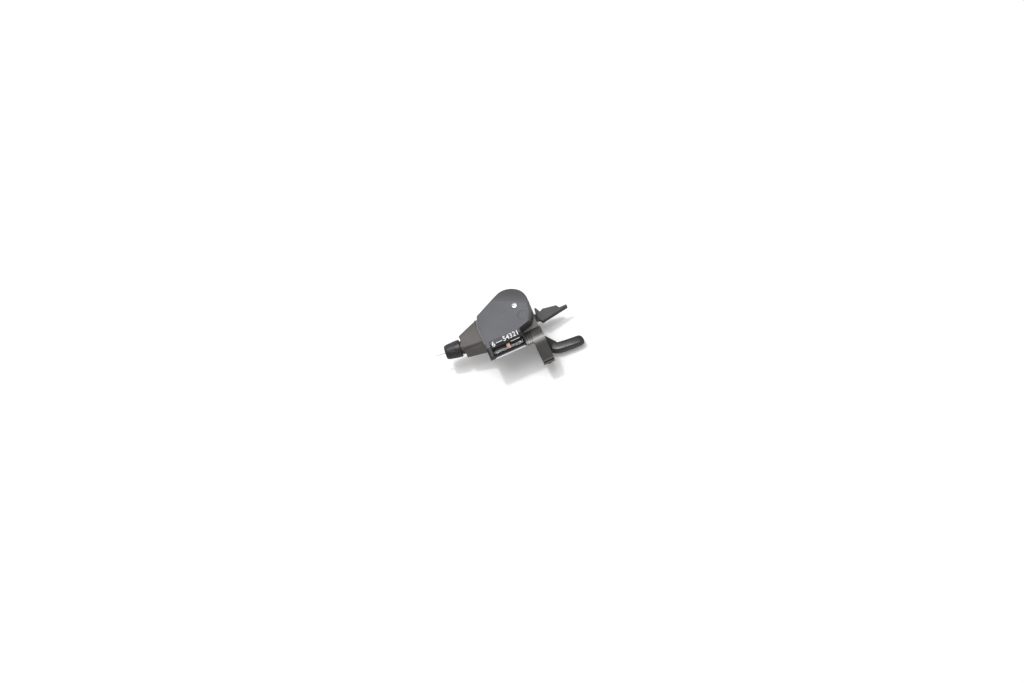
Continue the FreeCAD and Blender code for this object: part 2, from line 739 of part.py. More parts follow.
def winding_drum():
    body = new_body("winding_drum", axis + ("0",))
    hub_bottom = f"({skirt_bottom} - slipGap)"
    disc(body, "hubRadius", hub_bottom, f"drumHalf - {hub_bottom}")
    disc(body, "drumRadius", "-drumHalf", "drumHalf * 2")
    groove_half = "(wireRadius + grooveSlack * 2)"
    sketch = new_sketch(body, "CableGroove", "XZ_Plane")
    inner = "grooveRadius - wireRadius - grooveSlack"
    polygon(sketch, [(inner, f"-{groove_half}"), ("drumRadius + 1", f"-{groove_half}"),
                     ("drumRadius + 1", groove_half), (inner, groove_half)])
    groove = body.newObject("PartDesign::Groove", "Groove")
    groove.Profile = sketch
    groove.ReferenceAxis = (sketch, ["V_Axis"])
    groove.Angle = 360
    recess = new_sketch(body, "SpringRecess", level="drumHalf - springRoom")
    circle(recess, ("0", "0"), "springOuter")
    circle(recess, ("0", "0"), "hubRadius + springStrip * 2")
    pocket(body, recess, "springRoom")
    nest = nipple_place()
    bore(body, "nippleRadius + runningClearance", "-nippleRadius - grooveSlack", "drumHalf * 3", nest)
    bore(body, "axleRadius + runningClearance", hub_bottom, f"drumHalf - {hub_bottom}")


def nipple_place():
    radius = "(drumRadius - nippleRadius)"
    angle = "(-90 - cableAngle + woundStart + woundAngle + nippleRadius * 3)"
    return f"{radius} * cos({angle})", f"{radius} * sin({angle})"


def drum_spring():
    # Flat strip wound from the hub out to the wall of the drum's recess, in half circles that grow
    strip = number("springStrip")
    start = number("hubRadius + springStrip * 2 + slipGap")
    halves = 2 * int(number("springTurns"))
    growth = number("springOuter - springStrip - slipGap") / halves - start / halves

    def winding(extra):
        edges = []
        left = -start - extra
        for half in range(halves):
            side = 1 if half % 2 else -1
            right = left + side * -2 * (start + extra + growth * (half + 0.5))
            crown = FreeCAD.Vector((left + right) / 2, side * abs(right - left) / 2, 0)
            ends = FreeCAD.Vector(left, 0, 0), FreeCAD.Vector(right, 0, 0)
            edges.append(Part.Arc(ends[0], crown, ends[1]).toShape())
            left = right
        return edges

    inner = winding(0)
    outer = winding(strip)
    caps = [Part.makeLine(inner[index].Vertexes[index].Point, outer[index].Vertexes[index].Point)
            for index in (0, -1)]
    face = Part.Face(Part.Wire(Part.__sortEdges__(inner + outer + caps)))
    spring = doc.addObject("Part::Feature", "drum_spring")
    spring.Label = "drum_spring"
    spring.Shape = face.extrude(FreeCAD.Vector(0, 0, number("springRoom - slipGap * 4")))
    place(spring, "Placement", axis + ("drumHalf - springRoom + slipGap * 2",))


def ratchet(label, top):
    body = new_body(label, axis + (f"{top} - ratchetThickness",))
    disc(body, "ratchetRoot", "0", "ratchetThickness")
    pitch = "(360 / ratchetTeeth)"
    tooth = [("ratchetRoot * 0.95", "0"), ("ratchetTip", "0"),
             (f"(ratchetRoot * 0.98) * cos({pitch} * 0.8)", f"(ratchetRoot * 0.98) * sin({pitch} * 0.8)")]
    polar_copies(body, slab(body, tooth, "0", "ratchetThickness"), "Z_Axis", "ratchetTeeth")
    bore(body, "hubRadius + slipGap / 5", "0", "ratchetThickness")


def cable_head():
    start = "-90 - cableAngle + woundStart"
    body = new_body("cable_head", axis + ("0",), start)
    section = [(f"grooveRadius + wireRadius * cos({60 * corner})", f"wireRadius * sin({60 * corner})")
               for corner in range(6)]
    sketch = polygon(new_sketch(body, "Wire", "XZ_Plane"), section)
    turn = body.newObject("PartDesign::Revolution", "WoundWire")
    turn.Profile = sketch
    turn.ReferenceAxis = (sketch, ["V_Axis"])
    bind(turn, Angle="woundAngle + nippleRadius")
    angle = "(woundAngle + nippleRadius * 3)"
    radius = "(drumRadius - nippleRadius)"
    disc(body, "nippleRadius", "-nippleRadius", "nippleRadius * 2",
         (f"{radius} * cos({angle})", f"{radius} * sin({angle})"))
    return body


def inner_cable():
    body = cable_body("inner_cable")
    start = "wireRadius * 2"
    sketch = circle(new_sketch(body, "Wire", "YZ_Plane", start), ("0", "0"), "wireRadius")
    pad(body, sketch, f"{knob_end} + wireStub - {start}")


# Pawls and their plate
def pawl_plate():
    body = new_body("pawl_plate", axis + ("0",))
    disc(body, "skirtRadius - skirtWall - slipGap", plate_bottom, "plateThickness")
    post = ("pawlCircle * 0.94 * cos(springPostAngle)", "pawlCircle * 0.94 * sin(springPostAngle)")
    disc(body, "springPostRadius", plate_top, f"{index_top} - {plate_top}", post)
    bore(body, "hubRadius + layerGap", plate_bottom, "plateThickness")
    for angle in boss_angles:
        spot = (f"plateBossCircle * cos({angle})", f"plateBossCircle * sin({angle})")
        bore(body, "plateScrewRadius + slipGap / 2", plate_bottom, "plateThickness", spot)
    pin = ("pawlCircle * cos(holdingPawlAngle)", "pawlCircle * sin(holdingPawlAngle)")
    bore(body, "pawlPinRadius + slipGap / 5", plate_bottom, "plateThickness", pin)


def pawl_plate_screws():
    pieces = []
    for angle in boss_angles:
        spot = about_axis("plateBossCircle", angle)
        shank = doc.addObject("Part::Cylinder", "Shank")
        bind(shank, Radius="plateScrewRadius", Height="plateThickness + plateScrewRadius * 5")
        place(shank, "Placement", spot + (plate_bottom,))
        head = doc.addObject("Part::Cylinder", "Head")
        bind(head, Radius="plateScrewHead", Height="plateScrewRadius")
        place(head, "Placement", spot + (f"{plate_bottom} - plateScrewRadius",))
        pieces += [shank, head]
    group = doc.addObject("Part::MultiFuse", "pawl_plate_screws")
    group.Shapes = pieces
    group.Label = "pawl_plate_screws"


def pawl(label, angle, level, hand):
    # An eye on its pin and a beak that points down at the ratchet
    body = new_body(label, about_axis("pawlCircle", angle) + (level,), f"{angle} - 90")
    disc(body, "pawlEye", "0", "ratchetThickness")
    drop = "(pawlCircle - sqrt((ratchetTip + layerGap) * (ratchetTip + layerGap) - pawlBeak * pawlBeak))"
    beak = [("0", "pawlEye * 0.9"), (f"{hand} * pawlBeak * 0.75", "pawlEye * 0.1"),
            (f"{hand} * pawlBeak * 1.1", f"-{drop} * 0.9"), (f"{hand} * pawlBeak", f"-{drop}"),
            (f"{hand} * pawlBeak * 0.3", "-pawlEye * 0.9")]
    slab(body, beak, "0", "ratchetThickness")
    bore(body, "pawlPinRadius + runningClearance", "0", "ratchetThickness")


def pin(label, angle, low, high):
    body = new_body(label, about_axis("pawlCircle", angle) + ("0",))
    disc(body, "pawlPinRadius", low, f"{high} - {low}")


def coil(label, at, wire_radius, radius, low, high, turns):
    # Six-sided wire through sections set round the coil, one wire radius inside the two levels
    wire = number(wire_radius)
    bend = number(radius)
    rise = number(f"{high} - {low} - {wire_radius} * 2")
    steps = number("coilSteps")
    count = int(steps * turns)
    rings = []
    for step in range(count + 1):
        angle = 2 * math.pi * step / steps
        outwards = FreeCAD.Vector(math.cos(angle), math.sin(angle), 0)
        centre = outwards * bend + FreeCAD.Vector(0, 0, wire + rise * step / count)
        upwards = FreeCAD.Vector(0, 0, wire)
        leans = [math.pi * corner / 3 for corner in range(6)]
        rings.append([centre + outwards * wire * math.cos(lean) + upwards * math.sin(lean) for lean in leans])
    outlines = [rings[0], rings[-1]]
    for ring, following in zip(rings, rings[1:]):
        for corner in range(6):
            after = (corner + 1) % 6
            outlines.append([ring[corner], following[corner], following[after]])
            outlines.append([ring[corner], following[after], ring[after]])
    faces = [Part.Face(Part.makePolygon(outline + outline[:1])) for outline in outlines]
    spring = doc.addObject("Part::Feature", label)
    spring.Label = label
    spring.Shape = Part.Solid(Part.makeShell(faces))
    place(spring, "Placement", at + (low,))


# Finger lever
def release_lever_plate():
    body = new_body("release_lever_plate", axis + (release_bottom,), "releaseAngle")
    disc(body, "releaseHub", "0", "releasePlate")
    half = "releaseArmHalf"
    slab(body, [("0", f"-{half}"), ("releaseArmReach", f"-{half}"), ("releaseArmReach", half), ("0", half)],
         "0", "releasePlate")
    bore(body, "hubRadius + runningClearance", "0", "releasePlate")


def release_lever_blade():
    body = new_body("release_lever_blade")
    low = f"({release_bottom} - bladeCover)"
    outline = [("bladeRootX + 3", "bladeRear"), ("bladeTip", "bladeRear + 4.2"),
               ("bladeTip", "bladeRear + 6"),
               ("bladeTip - 6.7", "bladeRear + 6"), ("bladeTip - 8.4", "bladeRear + 9.2"),
               ("bladeRootX + 7.5", "bladeRear + 11.6"), ("bladeRootX + 4.6", "bladeRear + 9.9"),
               ("bladeRootX + 2.6", "bladeFin"), ("bladeRootX + 1.2", "bladeFin"),
               ("bladeRootX", "bladeRear + 6.3"), ("bladeRootX + 2", "bladeRear + 2.2")]
    slab(body, outline, low, "releasePlate + bladeCover * 2")
    top = f"{release_top} + bladeCover"
    fillet(body, "bladeCorner", lambda edge: not on_rim(edge, top, low))
    fillet(body, "bladeRound", lambda edge: on_rim(edge, top, low))
    nest = arm_strip("releaseArmReach / 2", "releaseArmReach + runningClearance", "releaseAngle",
                     "releaseArmHalf + runningClearance")
    pocket(body, polygon(new_sketch(body, "ArmNest", level=release_bottom), nest), "releasePlate")


# Thumb lever
def main_lever_arm():
    body = new_body("main_lever_arm", axis + (arm_bottom,), "armAngle")
    disc(body, "armHub", "0", "armThickness")
    slab(body, [("0", "-armHalf"), ("armReach", "-armHalf"), ("armReach", "armHalf"), ("0", "armHalf")],
         "0", "armThickness")
    bore(body, "axleRadius + runningClearance", "0", "armThickness")
    spot = ("pawlCircle * cos(drivePawlAngle - armAngle)", "pawlCircle * sin(drivePawlAngle - armAngle)")
    bore(body, "pawlPinRadius + slipGap / 5", "0", "armThickness", spot)


def main_lever_pad():
    # A rounded paddle that bends away from the end of the arm, and the sheath that grips the arm
    body = new_body("main_lever_pad")
    end_x, end_y = about_axis("armReach", "armAngle")
    rear = f"{end_y} - padRear"
    front = f"{end_y} + padFront"
    tip = f"{end_x} + padTip"
    heel = f"{end_x} - padHeel"
    bar = [(heel, rear), (tip, rear), (tip, front), (heel, front)]
    slab(body, bar, "padBottom", "padTop - padBottom")
    fillet(body, "padCorner", lambda edge: not on_rim(edge, "padTop", "padBottom"))
    fillet(body, "padRound", lambda edge: on_rim(edge, "padTop", "padBottom"))
    bend = [(f"{heel} + padRound", f"{rear} + padRound"), (f"{heel} + padThroat * 2", f"{rear} + padRound"),
            (f"{heel} + padThroat * 1.7", front), (f"{heel} + padThroat", f"{front} + padBend / 10"),
            (f"{heel} + padThroat * 0.5", f"{front} + padBend / 4"),
            (f"{heel} + padThroat * 0.2", f"{front} + padBend / 2"), (heel, f"{front} + padBend"),
            (f"{heel} - padThroat", f"{front} + padBend"), (f"{heel} - padThroat / 2", front)]
    slab(body, bend, "padBottom + padRound", "padTop - padBottom - padRound * 2")
    low = f"({arm_bottom} - sheathCover)"
    sheath = arm_strip("armReach * sheathStart", "armReach + sheathCover * 2", "armAngle",
                       "armHalf + sheathCover")
    slab(body, sheath, low, "armThickness + sheathCover * 1.9")
    nest = arm_strip("armReach * sheathStart / 2", "armReach + runningClearance", "armAngle",
                     "armHalf + runningClearance")
    pocket(body, polygon(new_sketch(body, "ArmNest", level=arm_bottom), nest), "armThickness")


# Barrel adjuster
detent_start = "(neckReach + slipGap)"
knob_start = f"({detent_start} + detentThickness + slipGap)"
knob_end = f"({knob_start} + knobLength)"


def barrel_adjuster():
    body = cable_body("barrel_adjuster")
    shank_start = "(neckReach - shankLength)"
    casing = f"({knob_end} - casingDepth)"
    revolve(body, [(shank_start, "wireHole"), (shank_start, "shankRadius"), (knob_start, "shankRadius"),
                   (knob_start, "knobRadius"), (f"{knob_start} + knobLength * 0.25", "knobRadius"),
                   (f"{knob_end} - knobLength * 0.15", "knobNose * 1.15"), (knob_end, "knobNose"),
                   (knob_end, "casingRadius"), (casing, "casingRadius"), (casing, "wireHole")])
    sketch = new_sketch(body, "GripGroove", "YZ_Plane", f"{knob_start} + knobLength * 0.15")
    width = "(knobRadius / 7)"
    polygon(sketch, [("0", f"knobRadius - {width} * 0.7"), (width, f"knobRadius + {width} * 0.6"),
                     (f"-{width}", f"knobRadius + {width} * 0.6")])
    polar_copies(body, pocket(body, sketch, "knobLength"), "X_Axis", "knobGrooves")


def adjuster_detent_ring():
    body = cable_body("adjuster_detent_ring")
    end = f"({detent_start} + detentThickness)"
    inner = "(shankRadius + slipGap)"
    revolve(body, [(detent_start, inner), (detent_start, "detentRadius"), (end, "detentRadius"),
                   (end, inner)])


def cable_access_plug():
    plug = doc.addObject("Part::Cylinder", "cable_access_plug")
    plug.Label = "cable_access_plug"
    bind(plug, Radius="plugRadius - runningClearance", Height="skirtWall * 2")
    turn = FreeCAD.Rotation(FreeCAD.Vector(0, 0, 1), FreeCAD.Vector(*inward))
    plug.Placement = FreeCAD.Placement(FreeCAD.Vector(), turn)
    inside = "sqrt((skirtRadius - skirtWall) * (skirtRadius - skirtWall) - grooveRadius * grooveRadius)"
    place(plug, "Placement", on_cable(f"-{inside}"))


def build():
    for make in (clamp_band, clamp_bolt, clamp_foot_screws, housing, top_cover, cover_screw, window_lens,
                 dial_plate, indicator_needle, main_axle, axle_washer, axle_nut, winding_drum, drum_spring,
                 cable_head, inner_cable, pawl_plate, pawl_plate_screws, release_lever_plate,
                 release_lever_blade, main_lever_arm, main_lever_pad, barrel_adjuster,
                 adjuster_detent_ring, cable_access_plug):
        make()
    ratchet("index_ratchet", index_top)
    ratchet("drive_ratchet", drive_top)
    pawl("holding_pawl", "holdingPawlAngle", index_bottom, "1")
    pawl("drive_pawl", "drivePawlAngle", drive_bottom, "-1")
    pin("holding_pawl_pin", "holdingPawlAngle", plate_bottom, f"({index_top} - slipGap)")
    pin("drive_pawl_pin", "drivePawlAngle", arm_bottom, f"({drive_top} + slipGap)")
    coil("main_lever_spring", axis, "springWire", "hubRadius + springWire * 3", f"({arm_top} + slipGap)",
         f"({drive_bottom} - layerGap)", 3)
    post = about_axis("pawlCircle * 0.94", "springPostAngle")
    coil("release_spring", post, "releaseWire", "springPostRadius + releaseWire * 2",
         f"({plate_top} + slipGap)", index_bottom, 2)


nodes = (
    "housing", "top_cover", "cover_screw", "window_lens", "dial_plate", "indicator_needle",
    "clamp_band", "clamp_foot_screws", "clamp_bolt", "main_axle", "axle_washer", "axle_nut",
    "winding_drum", "drum_spring", "index_ratchet", "drive_ratchet", "cable_head", "inner_cable",
    "barrel_adjuster", "adjuster_detent_ring", "cable_access_plug", "pawl_plate", "pawl_plate_screws",
    "holding_pawl", "holding_pawl_pin", "drive_pawl", "drive_pawl_pin", "release_lever_plate",
    "release_lever_blade", "release_spring", "main_lever_arm", "main_lever_pad", "main_lever_spring",
)

build()
doc.recompute()
for item in doc.Objects:
    if "Invalid" in item.State or "Error" in item.State:
        raise RuntimeError(f"{item.Label} failed: {item.State}")
for node in nodes:
    shape = doc.getObject(node).Shape
    if shape.isNull() or not shape.isValid():
        raise RuntimeError(f"{node} has no valid shape")
os.makedirs("parts", exist_ok=True)
for node in nodes:
    doc.getObject(node).Shape.exportStep(f"parts/{node}.step")
print(f"{len(nodes)} sub-parts written")
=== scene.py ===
import math
import bpy
from mathutils import Matrix, Vector


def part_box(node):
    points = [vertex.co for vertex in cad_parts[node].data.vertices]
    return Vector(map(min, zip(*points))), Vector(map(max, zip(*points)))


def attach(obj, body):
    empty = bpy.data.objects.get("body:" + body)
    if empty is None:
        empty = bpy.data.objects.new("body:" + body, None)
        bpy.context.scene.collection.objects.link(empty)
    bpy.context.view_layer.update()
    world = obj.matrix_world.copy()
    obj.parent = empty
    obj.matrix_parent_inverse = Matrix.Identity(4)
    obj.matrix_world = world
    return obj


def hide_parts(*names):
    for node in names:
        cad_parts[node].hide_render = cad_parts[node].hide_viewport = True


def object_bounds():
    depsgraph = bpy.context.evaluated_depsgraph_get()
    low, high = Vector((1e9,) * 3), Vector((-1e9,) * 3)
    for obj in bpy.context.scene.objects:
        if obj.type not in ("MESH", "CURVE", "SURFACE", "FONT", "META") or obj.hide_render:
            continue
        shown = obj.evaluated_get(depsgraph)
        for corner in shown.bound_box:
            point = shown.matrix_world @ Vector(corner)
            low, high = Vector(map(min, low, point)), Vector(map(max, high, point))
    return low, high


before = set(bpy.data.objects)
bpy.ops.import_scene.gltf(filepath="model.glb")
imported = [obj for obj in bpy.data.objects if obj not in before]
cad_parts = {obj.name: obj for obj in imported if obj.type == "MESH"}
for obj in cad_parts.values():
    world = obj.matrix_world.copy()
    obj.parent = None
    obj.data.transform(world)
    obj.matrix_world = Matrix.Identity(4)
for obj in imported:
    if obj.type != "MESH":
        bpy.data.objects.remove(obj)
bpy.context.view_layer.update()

bpy.ops.object.select_all(action="DESELECT")
print("frame loaded:", len(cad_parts), "nodes")

mm = 0.001


# Materials

def startMaterial(name):
    made = bpy.data.materials.new(name)
    made.use_nodes = True
    tree = made.node_tree
    tree.nodes.clear()
    output = tree.nodes.new("ShaderNodeOutputMaterial")
    shader = tree.nodes.new("ShaderNodeBsdfPrincipled")
    tree.links.new(shader.outputs["BSDF"], output.inputs["Surface"])
    coords = tree.nodes.new("ShaderNodeTexCoord").outputs["Object"]
    return made, tree, shader, coords


def addNoise(tree, coords, scale, detail, stretch=None):
    if stretch:
        mapping = tree.nodes.new("ShaderNodeMapping")
        mapping.inputs["Scale"].default_value = stretch
        tree.links.new(coords, mapping.inputs["Vector"])
        coords = mapping.outputs["Vector"]
    noise = tree.nodes.new("ShaderNodeTexNoise")
    noise.inputs["Scale"].default_value = scale
    noise.inputs["Detail"].default_value = detail
    tree.links.new(coords, noise.inputs["Vector"])
    return noise.outputs["Fac"]


def addRamp(tree, value, places, colours):
    ramp = tree.nodes.new("ShaderNodeValToRGB")
    for element, place, colour in zip(ramp.color_ramp.elements, places, colours):
        element.position = place
        element.color = (*colour, 1)
    tree.links.new(value, ramp.inputs["Fac"])
    return ramp.outputs["Color"]


def addRange(tree, value, low, high, fromLow=0.3, fromHigh=0.7):
    fit = tree.nodes.new("ShaderNodeMapRange")
    fit.inputs["From Min"].default_value = fromLow
    fit.inputs["From Max"].default_value = fromHigh
    fit.inputs["To Min"].default_value = low
    fit.inputs["To Max"].default_value = high
    tree.links.new(value, fit.inputs["Value"])
    return fit.outputs["Result"]


def addMix(tree, amount, first, second):
    # input 0 takes the amount, inputs 6 and 7 the colours, and output 2 is the mixed colour
    mix = tree.nodes.new("ShaderNodeMix")
    mix.data_type = "RGBA"
    tree.links.new(amount, mix.inputs[0])
    for socket, colour in ((mix.inputs[6], first), (mix.inputs[7], second)):
        if isinstance(colour, tuple):
            socket.default_value = (*colour, 1)
        else:
            tree.links.new(colour, socket)
    return mix.outputs[2]


def addMath(tree, operation, first, second=0.0):
    node = tree.nodes.new("ShaderNodeMath")
    node.operation = operation
    for socket, value in zip(node.inputs, (first, second)):
        if isinstance(value, (int, float)):
            socket.default_value = value
        else:
            tree.links.new(value, socket)
    return node.outputs["Value"]


def multiplyAll(tree, product, *others):
    for other in others:
        product = addMath(tree, "MULTIPLY", product, other)
    return product


def addPlace(tree, coords):
    split = tree.nodes.new("ShaderNodeSeparateXYZ")
    tree.links.new(coords, split.inputs["Vector"])
    return split.outputs["X"], split.outputs["Y"], split.outputs["Z"]


def addSoftEdge(tree, radius, samples=6):
    # a rounded normal along sharp edges, and how far it turns there
    bevel = tree.nodes.new("ShaderNodeBevel")
    bevel.samples = samples
    bevel.inputs["Radius"].default_value = radius
    flat = tree.nodes.new("ShaderNodeNewGeometry")
    dot = tree.nodes.new("ShaderNodeVectorMath")
    dot.operation = "DOT_PRODUCT"
    tree.links.new(bevel.outputs["Normal"], dot.inputs[0])
    tree.links.new(flat.outputs["Normal"], dot.inputs[1])
    worn = addMath(tree, "SUBTRACT", 1.0, dot.outputs["Value"])
    return bevel.outputs["Normal"], worn


def addBump(tree, shader, height, strength, distance, normal):
    bump = tree.nodes.new("ShaderNodeBump")
    bump.inputs["Strength"].default_value = strength
    bump.inputs["Distance"].default_value = distance
    tree.links.new(height, bump.inputs["Height"])
    tree.links.new(normal, bump.inputs["Normal"])
    tree.links.new(bump.outputs["Normal"], shader.inputs["Normal"])


def coverMarks(tree, coords, tone, look):
    # black round the gear window, partly its real black surround and partly painted shade on the rear wall and the
    # ends; a cap darkened with painted shade, with fine painted shade lines at its crease; and a painted highlight
    # as a pale rim on the left
    x, y, z = addPlace(tree, coords)
    # painted shade: the rear wall, the cover's rear strip and the end right of the window are painted black,
    # together with the window's real black surround
    below = addMath(tree, "LESS_THAN", z, look["lensFloor"])
    rear = addMath(tree, "LESS_THAN", y, look["windowRear"])
    right = addMath(tree, "GREATER_THAN", x, look["windowRight"])
    blackPrintAndShade = addMath(tree, "MAXIMUM", below, addMath(tree, "MAXIMUM", rear, right))
    blackPrintAndShade = multiplyAll(tree, addMath(tree, "GREATER_THAN", x, look["windowLeft"]),
                        addMath(tree, "LESS_THAN", y, look["windowFront"]), blackPrintAndShade)
    blackPrintAndShade = addMath(tree, "MAXIMUM", blackPrintAndShade, addMath(tree, "LESS_THAN", y, look["endFront"]))
    tone = addMix(tree, blackPrintAndShade, tone, look["blackPrintAndShade"])
    angle = math.radians(look["creaseAngle"])
    across = addMath(tree, "MULTIPLY", addMath(tree, "SUBTRACT", x, look["axis"][0]), math.cos(angle))
    along = addMath(tree, "MULTIPLY", addMath(tree, "SUBTRACT", y, look["axis"][1]), math.sin(angle))
    beyond = addMath(tree, "ADD", across, along)
    # painted shade: the cap beyond the crease is mixed towards a darker tone, standing in for the shade of its
    # slope
    tone = addMix(tree, addRange(tree, beyond, 0.0, look["capAmount"], *look["capBlend"]), tone, look["cap"])
    # painted highlight: a pale band on the left where the rim rounds away from up
    left = multiplyAll(tree, addMath(tree, "LESS_THAN", x, look["creaseRight"]),
                       addMath(tree, "GREATER_THAN", z, look["creaseFloor"]))
    upright = addPlace(tree, tree.nodes.new("ShaderNodeNewGeometry").outputs["Normal"])[2]
    rim = multiplyAll(tree, addRange(tree, upright, look["rimHighlightAmount"], 0.0, *look["rimHighlightBlend"]), left,
                      addMath(tree, "GREATER_THAN", y, look["windowFront"]))
    tone = addMix(tree, rim, tone, look["rim"])
    # painted shade: fine dark lines along the crease
    for distance, depth in look["creaseShadeLines"]:
        line = addMath(tree, "COMPARE", beyond, distance)
        line.node.inputs[2].default_value = look["creaseHalf"]
        tone = addMix(tree, multiplyAll(tree, line, left, depth), tone, look["blackPrintAndShade"])
    return tone


def neckValleyShade(tree, coords, tone, look):
    # painted shade: a soft dark band along the neck's valley, above its lower bulge
    x, y, z = addPlace(tree, coords)
    startX, startY, slope = look["valley"]
    fall = addMath(tree, "MULTIPLY", addMath(tree, "SUBTRACT", x, startX), slope)
    line = addMath(tree, "ADD", fall, startY)
    away = addMath(tree, "ABSOLUTE", addMath(tree, "SUBTRACT", y, line))
    amount = addRange(tree, away, look["valleyShadeDepth"], 0.0, *look["valleyBlend"])
    amount = multiplyAll(tree, amount, addMath(tree, "LESS_THAN", x, look["valleyRight"]),
                         addMath(tree, "GREATER_THAN", z, 0.0))
    return addMix(tree, amount, tone, look["valleyShadeTone"])


plasticBase = {
    "cloudDetail": 3.0, "cloudFrom": (0.3, 0.7), "rubScale": 900, "rubDetail": 5.0, "rubFrom": (0.02, 0.25),
    "speckScale": 2600, "speckDetail": 1.0, "speckFrom": (0.72, 0.76), "speck": (0.55, 0.54, 0.52),
    "smearScale": 160, "smearDetail": 4.0, "grainDetail": 2.0, "bump": 0.00006, "ior": 1.5,
    "coat": 0.0, "coatRough": 0.1, "glow": 0.0,
}


def mouldedPlastic(name, ownLook):
    # moulded plastic: cloudy tone, fine texture, paler rubbed edges and specks of dust
    look = {**plasticBase, **ownLook}
    made, tree, shader, coords = startMaterial(name)
    normal, worn = addSoftEdge(tree, look["edge"])
    cloud = addNoise(tree, coords, look["cloud"], look["cloudDetail"])
    tone = addRamp(tree, cloud, look["cloudFrom"], (look["dark"], look["light"]))
    rubNoise = addNoise(tree, coords, look["rubScale"], look["rubDetail"])
    rub = multiplyAll(tree, addRange(tree, worn, 0.0, look["rub"], *look["rubFrom"]), rubNoise)
    tone = addMix(tree, rub, tone, look["worn"])
    speckNoise = addNoise(tree, coords, look["speckScale"], look["speckDetail"])
    speck = addRange(tree, speckNoise, 0.0, look["dust"], *look["speckFrom"])
    tone = addMix(tree, speck, tone, look["speck"])
    if "creaseShadeLines" in look:
        tone = coverMarks(tree, coords, tone, look)
    if "valley" in look:
        tone = neckValleyShade(tree, coords, tone, look)
    tree.links.new(tone, shader.inputs["Base Color"])
    smear = addNoise(tree, coords, look["smearScale"], look["smearDetail"])
    tree.links.new(addRange(tree, smear, *look["rough"]), shader.inputs["Roughness"])
    shader.inputs["IOR"].default_value = look["ior"]
    shader.inputs["Coat Weight"].default_value = look["coat"]
    shader.inputs["Coat Roughness"].default_value = look["coatRough"]
    # a glow in the lighter tone; only the painted highlight under the window uses it
    shader.inputs["Emission Color"].default_value = (*look["light"], 1)
    shader.inputs["Emission Strength"].default_value = look["glow"]
    grain = addNoise(tree, coords, look["grain"], look["grainDetail"])
    addBump(tree, shader, grain, look["grainDepth"], look["bump"], normal)
    return made


steelBase = {"edge": 0.0002, "lineDetail": 3.0, "lineFrom": (0.25, 0.75), "bump": 0.00003}


def platedSteel(name, ownLook):
    # plated steel with fine turning marks
    look = {**steelBase, **ownLook}
    made, tree, shader, coords = startMaterial(name)
    normal = addSoftEdge(tree, look["edge"])[0]
    lines = addNoise(tree, coords, look["lines"], look["lineDetail"], look["stretch"])
    tone = addRamp(tree, lines, look["lineFrom"], (look["dark"], look["light"]))
    tree.links.new(tone, shader.inputs["Base Color"])
    shader.inputs["Metallic"].default_value = 1.0
    tree.links.new(addRange(tree, lines, *look["rough"]), shader.inputs["Roughness"])
    addBump(tree, shader, lines, look["depth"], look["bump"], normal)
    return made


# Finishes of the CAD shapes and of the pieces made here

coverLook = {
    "edge": 0.0011, "cloud": 45, "dark": (0.078, 0.080, 0.091), "light": (0.098, 0.100, 0.112),
    "rub": 0.5, "worn": (0.30, 0.30, 0.32), "dust": 0.3, "rough": (0.36, 0.48),
    "coat": 0.12, "coatRough": 0.25, "grain": 2400, "grainDepth": 0.10,
    # the black is the window's surround print, and also the painted shade colour of the rear wall, the window's end
    # and the crease lines
    "blackPrintAndShade": (0.008, 0.008, 0.010), "windowLeft": -40.3 * mm, "windowFront": 11.75 * mm,
    "windowRear": -1.65 * mm, "windowRight": -12.1 * mm, "lensFloor": 16.25 * mm, "endFront": 6.3 * mm,
    # the cap colour is painted shade
    "cap": (0.066, 0.064, 0.064), "capAmount": 0.7, "capBlend": (6.0 * mm, 14.0 * mm),
    "axis": (-13.5 * mm, 34 * mm), "creaseAngle": 57.4,
    # the crease lines are painted shade
    "creaseShadeLines": [(6.8 * mm, 0.5), (8.6 * mm, 0.3), (10.2 * mm, 0.2)], "creaseHalf": 0.16 * mm,
    "creaseRight": -13 * mm, "creaseFloor": 15.5 * mm,
    # the rim colour is a painted highlight
    "rim": (0.34, 0.34, 0.36), "rimHighlightAmount": 0.8, "rimHighlightBlend": (0.5, 0.96),
}
bodyLook = {
    "edge": 0.0006, "cloud": 70, "dark": (0.080, 0.074, 0.070), "light": (0.112, 0.104, 0.099),
    "rub": 0.35, "worn": (0.22, 0.21, 0.20), "dust": 0.4, "rough": (0.42, 0.56),
    # the valley keys paint shade along the neck's valley
    "grain": 2800, "grainDepth": 0.22, "valley": (-46.5 * mm, 17.9 * mm, -0.19),
    "valleyBlend": (0.1 * mm, 1.8 * mm), "valleyShadeDepth": 0.75, "valleyRight": -44.6 * mm,
    "valleyShadeTone": (0.018, 0.016, 0.015),
}
clampLook = {
    "edge": 0.0005, "cloud": 80, "dark": (0.024, 0.023, 0.022), "light": (0.038, 0.036, 0.034),
    "rub": 0.45, "worn": (0.22, 0.21, 0.20), "dust": 0.35, "rough": (0.34, 0.46),
    "coat": 1.0, "coatRough": 0.28, "grain": 2000, "grainDepth": 0.08,
}
paddleLook = {
    "edge": 0.0006, "cloud": 60, "dark": (0.016, 0.015, 0.016), "light": (0.024, 0.023, 0.024),
    "rub": 0.3, "worn": (0.12, 0.12, 0.12), "dust": 0.35, "rough": (0.30, 0.42),
    "coat": 0.3, "coatRough": 0.26, "grain": 1500, "grainDepth": 0.05,
}
bladeLook = {
    "edge": 0.0005, "cloud": 80, "dark": (0.042, 0.041, 0.044), "light": (0.060, 0.059, 0.062),
    "rub": 0.4, "worn": (0.20, 0.20, 0.20), "dust": 0.4, "rough": (0.40, 0.52),
    "grain": 2600, "grainDepth": 0.20,
}
